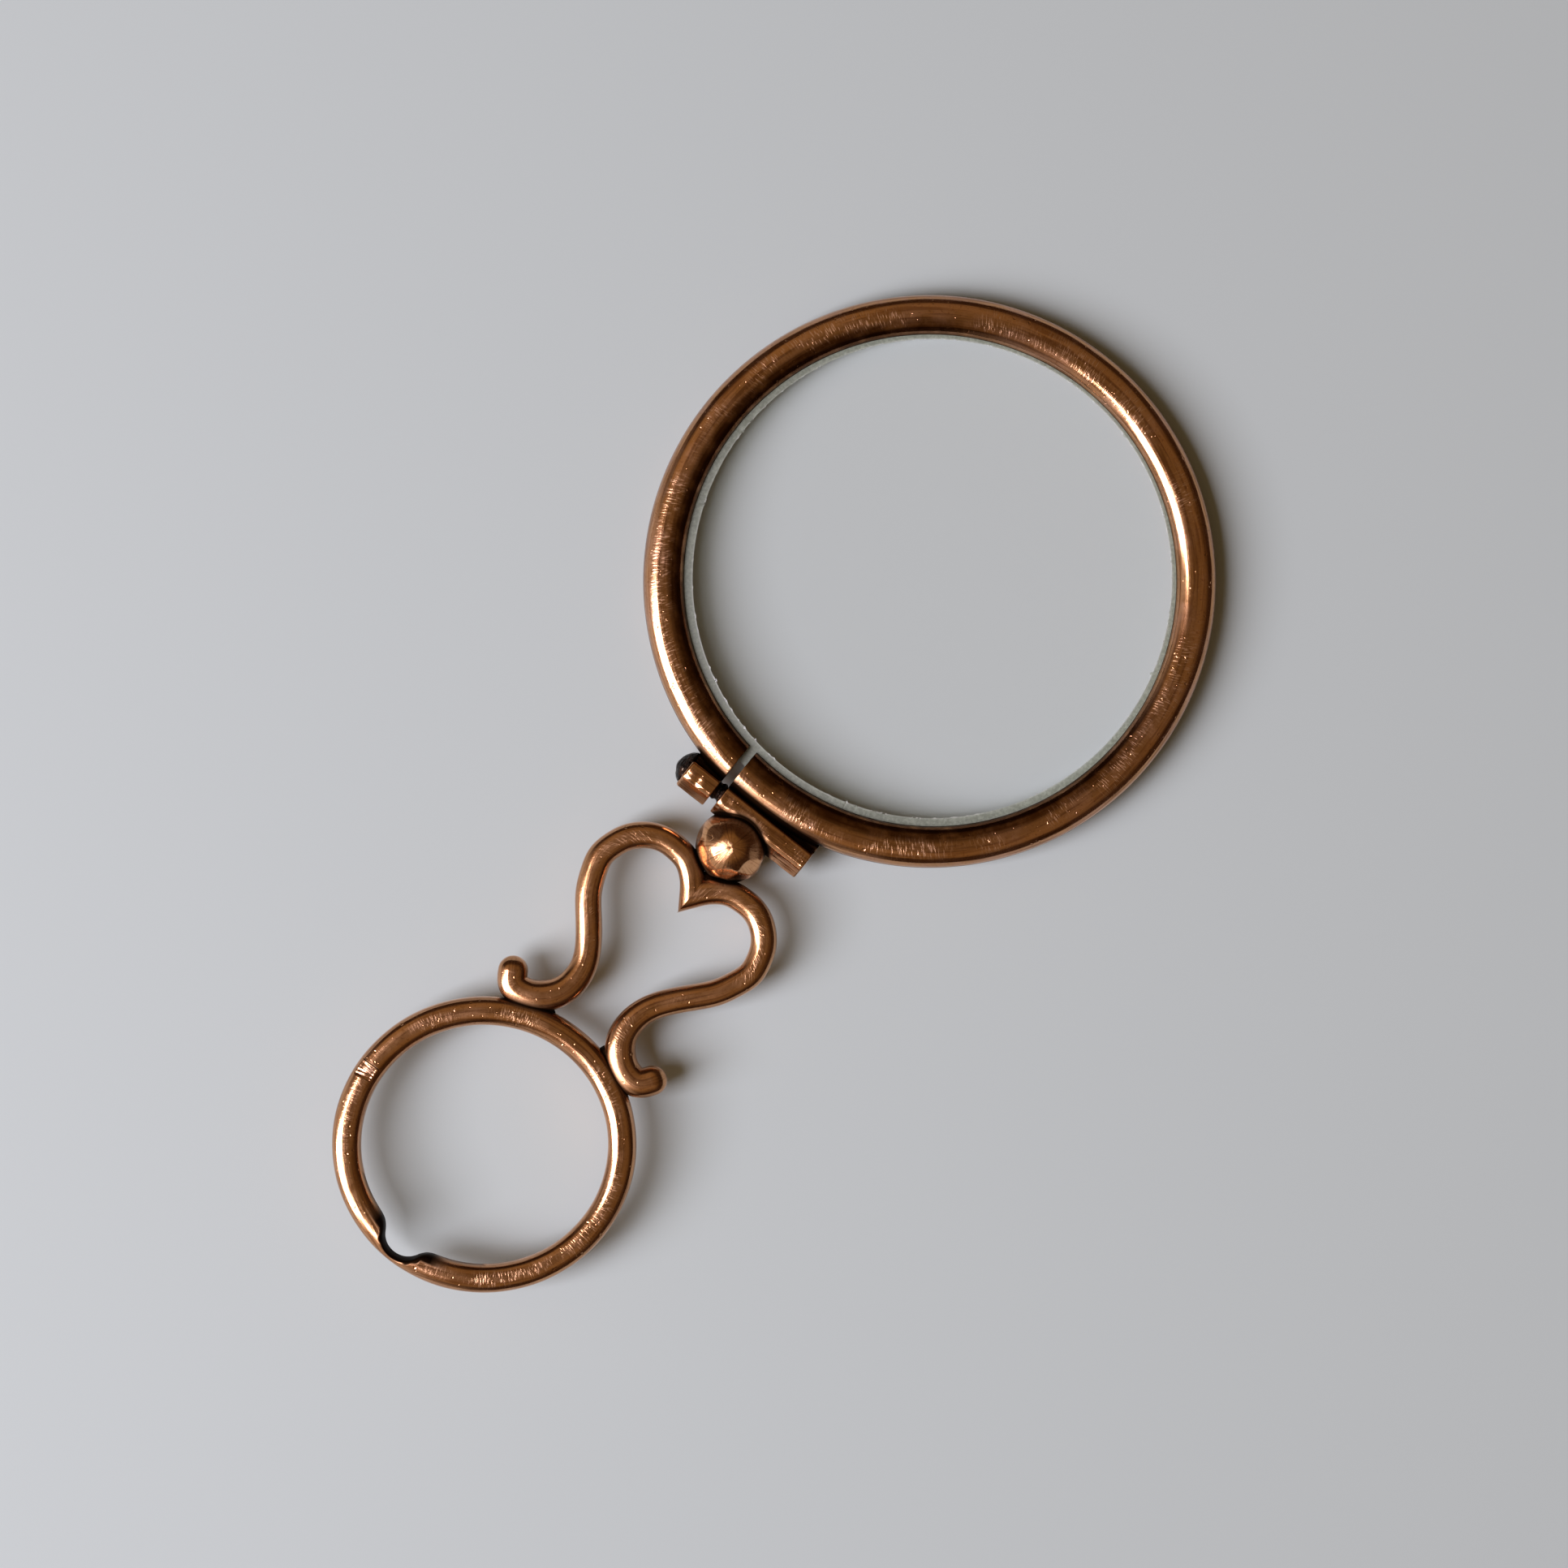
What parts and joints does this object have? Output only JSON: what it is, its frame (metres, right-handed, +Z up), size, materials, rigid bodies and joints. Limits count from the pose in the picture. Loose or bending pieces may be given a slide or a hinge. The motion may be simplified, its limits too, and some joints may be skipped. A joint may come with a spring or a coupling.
{
  "type": "quizzing glass",
  "caption": "Quizzing glass: a round lens in a split wire rim drawn shut by a cross screw, on a heart-shaped scroll handle that ends in a finger ring.",
  "frame": {"origin": "centre of the bounding box in X and Y, at the lowest point of the bead", "axes": "+X along the clamp barrels, +Y along the handle from the finger ring towards the lens, +Z up from the table it lies on"},
  "size_m": [0.0424, 0.0852, 0.0054],
  "materials": {
    "rose_metal": "worn polish, warm rose-copper alloy with fine rubbing marks and dark crevices",
    "lens_glass": "clear, polished faces, finely ground bevel",
    "dark_steel": "black oxidised steel, pitted"
  },
  "bodies": {
    "glass": {"lens_rim": "rose_metal", "lens": "lens_glass", "thread_barrel": "rose_metal", "head_barrel": "rose_metal", "bead": "rose_metal", "left_scroll": "rose_metal", "right_scroll": "rose_metal", "suspension_ring": "rose_metal"},
    "screw": {"clamp_screw": "dark_steel"}
  },
  "joints": [
    {"name": "screw_turn", "type": "hinge", "parent": "glass", "child": "screw", "pos_m": [-0.00544, -0.00031, 0.0027], "axis": [-1, 0, 0], "range_deg": [0, 4410]}
  ]
}
